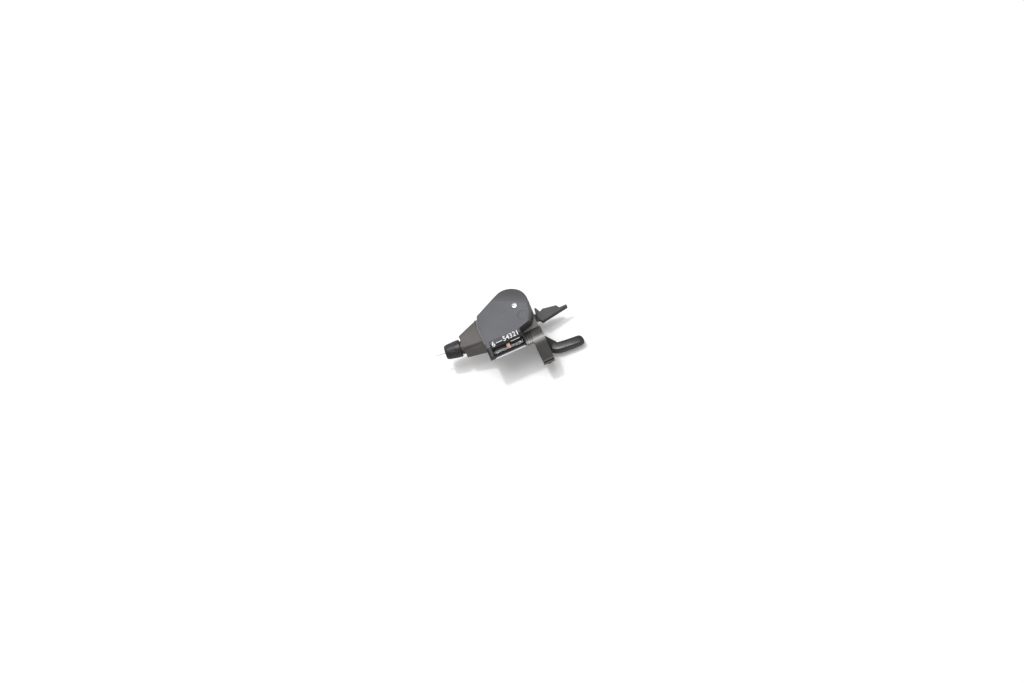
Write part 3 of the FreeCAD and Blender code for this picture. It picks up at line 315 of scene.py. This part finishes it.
barrelLook = {
    "edge": 0.0004, "cloud": 90, "dark": (0.018, 0.018, 0.021), "light": (0.029, 0.029, 0.032),
    "rub": 0.8, "worn": (0.20, 0.20, 0.21), "dust": 0.3, "rough": (0.34, 0.46),
    "grain": 2600, "grainDepth": 0.15,
}
drumLook = {
    "edge": 0.0003, "cloud": 60, "dark": (0.26, 0.26, 0.25), "light": (0.33, 0.33, 0.31),
    "rub": 0.3, "worn": (0.45, 0.45, 0.43), "dust": 0.2, "rough": (0.40, 0.52),
    "grain": 2400, "grainDepth": 0.15,
}
plugLook = {
    "edge": 0.0004, "cloud": 70, "dark": (0.022, 0.022, 0.022), "light": (0.034, 0.034, 0.034),
    "rub": 0.2, "worn": (0.10, 0.10, 0.10), "dust": 0.5, "rough": (0.70, 0.85),
    "grain": 3000, "grainDepth": 0.25,
}
needleLook = {
    "edge": 0.0002, "cloud": 120, "dark": (0.84, 0.50, 0.40), "light": (0.92, 0.62, 0.53),
    "rub": 0.2, "worn": (0.93, 0.72, 0.64), "dust": 0.1, "rough": (0.35, 0.45),
    "grain": 2000, "grainDepth": 0.05,
}
steelLook = {
    "lines": 2600, "stretch": (1, 1, 0.5), "dark": (0.58, 0.58, 0.58), "light": (0.70, 0.70, 0.69),
    "rough": (0.26, 0.36), "depth": 0.12,
}
strandLook = {
    "lines": 3000, "stretch": (1, 1, 1), "dark": (0.72, 0.72, 0.72), "light": (0.86, 0.86, 0.85),
    "rough": (0.42, 0.55), "depth": 0.1,
}
springLook = {
    "lines": 1400, "stretch": (1, 1, 1), "dark": (0.34, 0.34, 0.35), "light": (0.52, 0.51, 0.50),
    "rough": (0.28, 0.42), "depth": 0.2,
}
darkSteelLook = {
    "lines": 900, "stretch": (1, 1, 0.15), "dark": (0.05, 0.05, 0.05), "light": (0.09, 0.09, 0.09),
    "rough": (0.34, 0.48), "depth": 0.2,
}
# white print, also used for the painted highlight dash by the window
inkAndHighlightLook = {
    "edge": 0.0001, "cloud": 200, "dark": (0.70, 0.71, 0.76), "light": (0.84, 0.85, 0.88),
    "rub": 0.1, "worn": (0.60, 0.60, 0.62), "dust": 0.1, "rough": (0.42, 0.55),
    "grain": 1500, "grainDepth": 0.05,
}
# a pale, faintly glowing finish: a painted highlight, not a lamp
glowingHighlightLook = {
    "edge": 0.0001, "cloud": 200, "dark": (0.74, 0.72, 0.84), "light": (0.86, 0.84, 0.94),
    "rub": 0.1, "worn": (0.80, 0.79, 0.86), "dust": 0.1, "rough": (0.25, 0.35),
    "glow": 0.3, "grain": 1500, "grainDepth": 0.05,
}

coverFinish = mouldedPlastic("satinCover", coverLook)
bodyFinish = mouldedPlastic("mouldedBody", bodyLook)
clampFinish = mouldedPlastic("paintedClamp", clampLook)
paddleFinish = mouldedPlastic("glossPaddle", paddleLook)
bladeFinish = mouldedPlastic("satinBlade", bladeLook)
barrelFinish = mouldedPlastic("groovedBarrel", barrelLook)
drumFinish = mouldedPlastic("drumNylon", drumLook)
plugFinish = mouldedPlastic("plugRubber", plugLook)
needleFinish = mouldedPlastic("orangeNeedle", needleLook)
steelFinish = platedSteel("platedSteel", steelLook)
strandFinish = platedSteel("strandSteel", strandLook)
springFinish = platedSteel("springSteel", springLook)
darkSteelFinish = platedSteel("blackenedSteel", darkSteelLook)
inkAndHighlightFinish = mouldedPlastic("whiteInkAndHighlight", inkAndHighlightLook)
glowingHighlightFinish = mouldedPlastic("paintedEdgeHighlight", glowingHighlightLook)


lensLook = {
    "clear": (0.96, 0.97, 0.98), "ink": (0.006, 0.006, 0.008), "grey": (0.085, 0.087, 0.098),
    "printRear": 3.6 * mm, "printFront": 8.3 * mm, "printRough": 0.3, "ior": 1.3,
    "hazeScale": 260, "hazeDetail": 5.0, "hazeFrom": (0.35, 0.75), "rough": (0.01, 0.08),
}


def clearLens(name, look):
    # clear moulded strip with faint haze, printed black and then grey towards the cover
    made, tree, shader, coords = startMaterial(name)
    y = addPlace(tree, coords)[1]
    printed = addMath(tree, "GREATER_THAN", y, look["printRear"])
    grey = addMath(tree, "GREATER_THAN", y, look["printFront"])
    ink = addMix(tree, grey, look["ink"], look["grey"])
    tree.links.new(addMix(tree, printed, look["clear"], ink), shader.inputs["Base Color"])
    tree.links.new(addMath(tree, "SUBTRACT", 1.0, printed), shader.inputs["Transmission Weight"])
    shader.inputs["IOR"].default_value = look["ior"]
    haze = addNoise(tree, coords, look["hazeScale"], look["hazeDetail"])
    rough = addMath(tree, "ADD", addRange(tree, haze, *look["rough"], *look["hazeFrom"]),
                    addMath(tree, "MULTIPLY", printed, look["printRough"]))
    tree.links.new(rough, shader.inputs["Roughness"])
    return made


dialLook = {
    "stripFront": 1.7 * mm, "ink": (0.006, 0.006, 0.008), "strip": (0.34, 0.325, 0.31),
    "stripAmount": (0.75, 1.0), "speckScale": 1800, "speckDetail": 3.0, "rough": (0.42, 0.58),
}


def dialPrint(name, look):
    # black dial with a paler strip along its rear edge
    made, tree, shader, coords = startMaterial(name)
    y = addPlace(tree, coords)[1]
    front = addMath(tree, "LESS_THAN", y, look["stripFront"])
    speck = addNoise(tree, coords, look["speckScale"], look["speckDetail"])
    amount = addMath(tree, "MULTIPLY", front, addRange(tree, speck, *look["stripAmount"]))
    tree.links.new(addMix(tree, amount, look["ink"], look["strip"]), shader.inputs["Base Color"])
    tree.links.new(addRange(tree, speck, *look["rough"]), shader.inputs["Roughness"])
    return made


lensFinish = clearLens("clearLens", lensLook)
dialFinish = dialPrint("printedDial", dialLook)

finishes = {
    coverFinish: ["top_cover"],
    bodyFinish: ["housing"],
    clampFinish: ["clamp_band"],
    bladeFinish: ["release_lever_blade"],
    barrelFinish: ["barrel_adjuster", "adjuster_detent_ring"],
    drumFinish: ["winding_drum"],
    plugFinish: ["cable_access_plug"],
    lensFinish: ["window_lens"],
    dialFinish: ["dial_plate"],
    springFinish: ["drum_spring", "release_spring", "main_lever_spring", "cable_head"],
    steelFinish: [
        "clamp_foot_screws", "main_axle", "axle_washer", "axle_nut", "index_ratchet",
        "drive_ratchet", "pawl_plate", "pawl_plate_screws", "holding_pawl", "holding_pawl_pin",
        "drive_pawl", "drive_pawl_pin", "main_lever_arm",
    ],
    darkSteelFinish: ["clamp_bolt", "release_lever_plate"],
}
for finish, names in finishes.items():
    for name in names:
        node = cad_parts[name]
        node.data.materials.clear()
        node.data.materials.append(finish)
print("finishes assigned:", sum(len(names) for names in finishes.values()), "nodes")


# Pieces made here, with lengths in millimetres

weldReach = 0.002
smoothAngle = 35
facing = 0.9
fullTurn = math.radians(360)


def pickFaces(direction):
    # selects the faces that look along a direction
    bpy.ops.object.mode_set(mode="EDIT")
    bpy.ops.mesh.select_mode(type="FACE")
    bpy.ops.mesh.select_all(action="DESELECT")
    bpy.ops.object.mode_set(mode="OBJECT")
    for face in bpy.context.object.data.polygons:
        face.select = face.normal.dot(Vector(direction)) > facing
    bpy.ops.object.mode_set(mode="EDIT")


def useModifier(kind, **settings):
    bpy.ops.object.mode_set(mode="OBJECT")
    bpy.ops.object.modifier_add(type=kind)
    modifier = bpy.context.object.modifiers[-1]
    for key, value in settings.items():
        setattr(modifier, key, value)
    bpy.ops.object.modifier_apply(modifier=modifier.name)


def applyPlace():
    bpy.ops.object.transform_apply(location=True, rotation=True, scale=True)


def closeUp(mostSides=8):
    # welds faces that meet and fills open ends
    bpy.ops.object.mode_set(mode="EDIT")
    bpy.ops.mesh.select_all(action="SELECT")
    bpy.ops.mesh.remove_doubles(threshold=weldReach * mm)
    bpy.ops.mesh.fill_holes(sides=mostSides)
    bpy.ops.mesh.normals_make_consistent(inside=False)
    bpy.ops.object.mode_set(mode="OBJECT")


def joinAll(pieces):
    bpy.ops.object.select_all(action="DESELECT")
    for piece in pieces:
        piece.select_set(True)
    bpy.context.view_layer.objects.active = pieces[0]
    bpy.ops.object.join()


def settle(name, finish, body, replaced=None):
    # puts a finished piece in the frame, on the body that carries it
    piece = bpy.context.object
    if piece.mode == "EDIT":
        bpy.ops.object.mode_set(mode="OBJECT")
    bpy.ops.object.select_all(action="DESELECT")
    piece.select_set(True)
    applyPlace()
    bpy.ops.object.shade_smooth_by_angle(angle=math.radians(smoothAngle))
    piece.name = name
    piece.data.materials.clear()
    piece.data.materials.append(finish)
    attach(piece, body)
    if replaced:
        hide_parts(replaced)
    print("piece made:", name)


def slimBar(across, along, level, rise, corner, cornerSteps=3):
    # a flat bar with rounded edges, from end to end each way
    middle = ((across[0] + across[1]) / 2, (along[0] + along[1]) / 2, level + rise / 2)
    bpy.ops.mesh.primitive_cube_add(size=mm, location=[value * mm for value in middle])
    bpy.context.object.scale = (across[1] - across[0], along[1] - along[0], rise)
    applyPlace()
    useModifier("BEVEL", width=corner * mm, segments=cornerSteps)
    return bpy.context.object


def disc(sides, radius, rise, middle):
    bpy.ops.mesh.primitive_cylinder_add(vertices=sides, radius=radius * mm, depth=rise * mm,
                                        location=[value * mm for value in middle])
    applyPlace()
    return bpy.context.object


# each digit with its place and size
numberLook = {
    "digits": [("6", -37.3, 7.5, 7.2), ("5", -26.9, 8.3, 6.6), ("4", -23.9, 8.4, 6.6), ("3", -20.9, 8.5, 6.6),
               ("2", -17.9, 8.6, 6.6), ("1", -15.0, 8.7, 6.6)],
    "level": 17.5, "narrow": 0.86, "rise": 0.03, "bold": 0.1, "curveSteps": 3,
}


def gearNumbers(look):
    made = []
    for digit, x, y, size in look["digits"]:
        bpy.ops.object.text_add(location=(x * mm, y * mm, look["level"] * mm))
        text = bpy.context.object
        text.data.body = digit
        text.data.size = size * mm
        text.data.align_x = "CENTER"
        text.data.align_y = "CENTER"
        text.data.extrude = look["rise"] * mm
        text.data.offset = look["bold"] * mm
        text.data.resolution_u = look["curveSteps"]
        bpy.ops.object.convert(target="MESH")
        closeUp()
        bpy.ops.transform.resize(value=(look["narrow"], 1, 1), center_override=(x * mm, y * mm, 0))
        applyPlace()
        made.append(bpy.context.object)
    joinAll(made)
    settle("gearNumbers", inkAndHighlightFinish, "shifter_body")


gearNumbers(numberLook)

# the two lines by their ends each way, each dot by its place and radius; the first line is a painted highlight
# along the window's front edge, the second a pale bar by the print's rear edge
markLook = {
    "edgeHighlightDash": ((-35.0, -28.9), (7.35, 8.05)), "scale": ((-23.0, -14.7), (3.2, 3.65)),
    "level": 17.48, "rise": 0.06, "corner": 0.02,
    "dots": [(-36.4, -0.6, 0.8), (-15.6, 0.9, 0.65)], "dotLevel": 14.5, "dotRise": 0.1, "dotSides": 20,
    "dotRim": 0.03, "dotRimSteps": 2,
}


def windowMarks(look):
    made = [slimBar(*look[line], look["level"], look["rise"], look["corner"]) for line in ("edgeHighlightDash", "scale")]
    for x, y, radius in look["dots"]:
        made.append(disc(look["dotSides"], radius, look["dotRise"], (x, y, look["dotLevel"])))
        pickFaces((0, 0, 1))
        bpy.ops.mesh.bevel(offset=look["dotRim"] * mm, segments=look["dotRimSteps"])
        bpy.ops.object.mode_set(mode="OBJECT")
    joinAll(made)
    settle("windowMarks", inkAndHighlightFinish, "shifter_body")


windowMarks(markLook)

windowEdgeHighlightLook = {
    "across": (-39.2, -13.4), "along": (-3.8, -2.9), "level": 12.1, "rise": 1.0, "corner": 0.2,
    "taper": 1.0, "thin": 0.35,
}


def windowEdgeHighlight(look):
    # a painted highlight for the light off the lens's lower edge: a pale, faintly glowing slim bar whose ends taper
    # off
    slimBar(look["across"], look["along"], look["level"], look["rise"], look["corner"])
    for side, end in zip((-1, 1), look["across"]):
        pickFaces((side, 0, 0))
        bpy.ops.mesh.extrude_region_move(TRANSFORM_OT_translate={"value": (side * look["taper"] * mm, 0, 0)})
        bpy.ops.transform.resize(value=(1, look["thin"], look["thin"]),
                                 center_override=(end * mm, look["along"][1] * mm, look["level"] * mm))
    settle("windowEdgeHighlight", glowingHighlightFinish, "shifter_body")


windowEdgeHighlight(windowEdgeHighlightLook)

needleShape = {
    "pivot": (-26.0, 28.0), "hub": 3.0, "hubSides": 32, "hubSteps": 2, "tip": -1.0, "wide": 1.5, "narrow": 1.05,
    "low": 14.92, "rise": 0.5, "rib": 0.5, "ribRise": 0.25, "ribGap": 0.6, "ribSink": 0.05, "corner": 0.1,
}


def needlePointer(look):
    # a flat pointer that tapers from its hub, with a raised rib along it
    x, y = look["pivot"]
    pointer = slimBar((x - look["wide"], x + look["wide"]), (look["tip"], y), look["low"], look["rise"],
                      look["corner"])
    pickFaces((0, -1, 0))
    shrink = look["narrow"] / look["wide"]
    bpy.ops.transform.resize(value=(shrink, 1, 1), center_override=(x * mm, look["tip"] * mm, 0))
    bpy.ops.object.mode_set(mode="OBJECT")
    rib = slimBar((x - look["rib"], x + look["rib"]), (look["tip"] + look["ribGap"], y - look["hub"]),
                  look["low"] + look["rise"] - look["ribSink"], look["ribRise"], look["corner"])
    hub = disc(look["hubSides"], look["hub"], look["rise"], (x, y, look["low"] + look["rise"] / 2))
    useModifier("BEVEL", width=look["corner"] * mm, segments=look["hubSteps"], limit_method="ANGLE")
    joinAll([pointer, rib, hub])
    settle("needlePointer", needleFinish, "needle", "indicator_needle")


needlePointer(needleShape)

screwLook = {
    "x": -7.7, "y": 34.4, "top": 17.7, "headRadius": 2.5, "head": 1.1, "sides": 40, "shankRadius": 1.2,
    "shank": 5.3, "rim": 0.35, "rimSteps": 4, "slotLength": 3.0, "slotWidth": 0.9, "slotDepth": 0.9,
    "cutRise": 2.0, "cutCorner": 0.08,
}


def crossScrew(look):
    # a turned head on its shank, with two crossed bars cut out of it
    x, y = look["x"], look["y"]
    head = disc(look["sides"], look["headRadius"], look["head"], (x, y, look["top"] - look["head"] / 2))
    pickFaces((0, 0, -1))
    bpy.ops.mesh.inset(thickness=(look["headRadius"] - look["shankRadius"]) * mm)
    bpy.ops.mesh.extrude_region_move(TRANSFORM_OT_translate={"value": (0, 0, -look["shank"] * mm)})
    pickFaces((0, 0, 1))
    bpy.ops.mesh.bevel(offset=look["rim"] * mm, segments=look["rimSteps"])
    bpy.ops.object.mode_set(mode="OBJECT")
    half = look["slotLength"] / 2
    thin = look["slotWidth"] / 2
    level = look["top"] - look["slotDepth"]
    arms = [slimBar((x - a, x + a), (y - b, y + b), level, look["cutRise"], look["cutCorner"])
            for a, b in ((half, thin), (thin, half))]
    for arm in arms:
        bpy.ops.object.select_all(action="DESELECT")
        head.select_set(True)
        bpy.context.view_layer.objects.active = head
        useModifier("BOOLEAN", object=arm, operation="DIFFERENCE", solver="EXACT")
        bpy.data.objects.remove(arm)
    settle("crossScrew", steelFinish, "shifter_body", "cover_screw")


crossScrew(screwLook)

# armSteps and tip: length of each step and its change in size; shapes: change in width and height
paddleShape = {
    "axis": (-13.5, 34.0), "armAngle": -56, "start": 22.5, "width": 10.2, "height": 5.0, "corner": 1.5,
    "cornerSteps": 2, "smoothing": 2,
    "armSteps": [(0.4, 1.0), (5.1, 1.0), (5.5, 1.2), (5.9, 1.36)],
    "bends": [
        {"radius": 8.0, "angle": 47,
         "shapes": [(0.98, 1.0), (0.92, 1.0), (0.87, 1.0), (0.87, 1.0), (0.90, 1.0), (0.90, 1.0)]},
        {"radius": 118.0, "angle": 9, "shapes": [(1.0, 1.0), (1.0, 0.97), (0.98, 0.94), (0.94, 0.88)]},
    ],
    "tip": [(1.4, 0.84), (0.9, 0.75), (0.45, 0.5)],
}


def thumbPaddle(look):
    # one section drawn out along the arm, narrowed round the bend and drawn on to the rounded tip
    low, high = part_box("main_lever_arm")
    level = (low.z + high.z) / 2
    bpy.ops.mesh.primitive_plane_add(size=mm, rotation=(0, math.radians(90), 0))
    bpy.context.object.scale = (look["height"], look["width"], 1)
    applyPlace()
    bpy.ops.object.mode_set(mode="EDIT")
    bpy.ops.mesh.select_all(action="SELECT")
    bpy.ops.mesh.bevel(offset=look["corner"] * mm, segments=look["cornerSteps"], affect="VERTICES")
    reach = 0.0
    for step, tall in look["armSteps"]:
        reach += step * mm
        bpy.ops.mesh.extrude_region_move(TRANSFORM_OT_translate={"value": (step * mm, 0, 0)})
        bpy.ops.transform.resize(value=(1, 1, tall), center_override=(reach, 0, 0))
    turn = Matrix()
    spot = Vector((reach, 0, 0))
    for bend in look["bends"]:
        inward = Vector((0, bend["radius"] * mm, 0))
        pivot = spot + turn @ inward
        step = math.radians(bend["angle"]) / len(bend["shapes"])
        for narrow, tall in bend["shapes"]:
            bpy.ops.mesh.spin(steps=1, angle=-step, center=pivot, axis=(0, 0, 1))
            turn = turn @ Matrix.Rotation(step, 4, "Z")
            spot = pivot - turn @ inward
            bpy.ops.transform.resize(value=(1, narrow, tall), center_override=spot, orient_type="GLOBAL",
                                     orient_matrix=turn.to_3x3().transposed(), orient_matrix_type="GLOBAL")
    for step, shrink in look["tip"]:
        ahead = turn @ Vector((step * mm, 0, 0))
        spot = spot + ahead
        bpy.ops.mesh.extrude_region_move(TRANSFORM_OT_translate={"value": ahead})
        bpy.ops.transform.resize(value=(shrink, shrink, shrink), center_override=spot)
    useModifier("SUBSURF", levels=look["smoothing"])
    piece = bpy.context.object
    arm = math.radians(look["armAngle"])
    piece.rotation_euler = (0, 0, arm)
    piece.location = ((look["axis"][0] + look["start"] * math.cos(arm)) * mm,
                      (look["axis"][1] + look["start"] * math.sin(arm)) * mm, level)
    settle("thumbPaddle", paddleFinish, "thumb_lever", "main_lever_pad")


thumbPaddle(paddleShape)

wireLook = {
    "start": (-15.02, 21.59, 0.0), "angle": 7, "from": 1.2, "lay": 7.015, "turns": 10, "turnSteps": 10,
    "strand": 0.2, "sides": 8, "circle": 0.4, "count": 6,
}


def wireStrands(look):
    # six strands laid round a straight one
    bpy.ops.mesh.primitive_circle_add(vertices=look["sides"], radius=look["strand"] * mm,
                                      location=(look["circle"] * mm, 0, 0))
    applyPlace()
    strands = bpy.context.object
    bpy.ops.object.mode_set(mode="EDIT")
    bpy.ops.mesh.select_all(action="SELECT")
    bpy.ops.mesh.spin(steps=look["count"], angle=fullTurn, center=(0, 0, 0), axis=(0, 0, 1), dupli=True)
    bpy.ops.mesh.select_all(action="SELECT")
    bpy.ops.mesh.remove_doubles(threshold=weldReach * mm)
    useModifier("SCREW", axis="Z", angle=fullTurn, screw_offset=look["lay"] * mm, iterations=look["turns"],
                steps=look["turnSteps"], render_steps=look["turnSteps"])
    closeUp()
    length = look["lay"] * look["turns"]
    joinAll([strands, disc(look["sides"], look["strand"], length, (0, 0, length / 2))])
    angle = math.radians(look["angle"])
    outward = Vector((-math.cos(angle), math.sin(angle), 0))
    strands.rotation_euler = outward.to_track_quat("Z", "Y").to_euler()
    strands.location = (Vector(look["start"]) + outward * look["from"]) * mm
    settle("wireStrands", strandFinish, "cable", "inner_cable")


wireStrands(wireLook)

# Stage, light and camera, with lengths in metres

stageLook = {
    "size": 6.0, "colour": (0.93, 0.93, 0.94), "bounce": (0.58, 0.57, 0.56), "rough": 0.8,
    "glow": (1.0, 1.0, 1.0), "lift": 0.12,
}
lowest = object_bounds()[0][2]


def whiteTable(look):
    # a white table that the camera sees brighter than the light it throws back
    bpy.ops.mesh.primitive_plane_add(size=look["size"], location=(0, 0, lowest))
    table = bpy.context.object
    table.name = "whiteTable"
    applyPlace()
    made, tree, shader = startMaterial("tableWhite")[:3]
    shader.inputs["Roughness"].default_value = look["rough"]
    seen = tree.nodes.new("ShaderNodeLightPath").outputs["Is Camera Ray"]
    tree.links.new(addMix(tree, seen, look["bounce"], look["colour"]), shader.inputs["Base Color"])
    tree.links.new(addMath(tree, "MULTIPLY", seen, look["lift"]), shader.inputs["Emission Strength"])
    shader.inputs["Emission Color"].default_value = (*look["glow"], 1)
    table.data.materials.append(made)


whiteTable(stageLook)

lightLook = {
    "sky": (1.0, 0.985, 0.965), "skyStrength": 0.46, "target": Vector((-0.02, 0.02, 0)),
    "lamps": [
        {"name": "keyLight", "direction": Vector((-0.09, 0.18, 1.0)), "distance": 1.2, "size": 0.10, "power": 4.0},
        {"name": "softLight", "direction": Vector((-0.05, 0.08, 1.0)), "distance": 1.2, "size": 0.80, "power": 7.4},
        {"name": "fillLight", "direction": Vector((-0.6, 0.9, 0.5)), "distance": 1.4, "size": 1.0, "power": 2.0},
    ],
}


def areaLight(look, target):
    place = target + look["direction"].normalized() * look["distance"]
    bpy.ops.object.light_add(type="AREA", location=place)
    light = bpy.context.object
    light.name = look["name"]
    light.data.size = look["size"]
    light.data.energy = look["power"]
    light.rotation_euler = look["direction"].to_track_quat("Z", "Y").to_euler()


def lightUp(look):
    world = bpy.data.worlds.new("studio")
    bpy.context.scene.world = world
    world.use_nodes = True
    background = world.node_tree.nodes["Background"]
    background.inputs["Color"].default_value = (*look["sky"], 1)
    background.inputs["Strength"].default_value = look["skyStrength"]
    for lamp in look["lamps"]:
        areaLight(lamp, look["target"])


lightUp(lightLook)

cameraLook = {
    "lens": 50, "sensor": 36, "near": 0.01, "distance": 1.208, "aim": Vector((-0.022, 0.0096, 0.0056)),
    "roll": 24, "rise": 60,
}


def lookDown(look):
    # the view turns about its own axis by roll, as the object lies slanted in the picture
    roll = math.radians(look["roll"])
    rise = math.radians(look["rise"])
    away = Vector((0, -math.cos(rise), math.sin(rise)))
    along = Vector((0, math.sin(rise), math.cos(rise)))
    right = Vector((math.cos(roll), 0, 0)) - along * math.sin(roll)
    up = Vector((math.sin(roll), 0, 0)) + along * math.cos(roll)
    bpy.ops.object.camera_add(location=look["aim"] + away * look["distance"])
    camera = bpy.context.object
    camera.rotation_euler = Matrix((right, up, away)).transposed().to_euler()
    camera.data.lens = look["lens"]
    camera.data.sensor_width = look["sensor"]
    camera.data.clip_start = look["near"]
    bpy.context.scene.camera = camera


lookDown(cameraLook)
bpy.context.scene.view_settings.view_transform = "Standard"
print("stage, light and camera set")
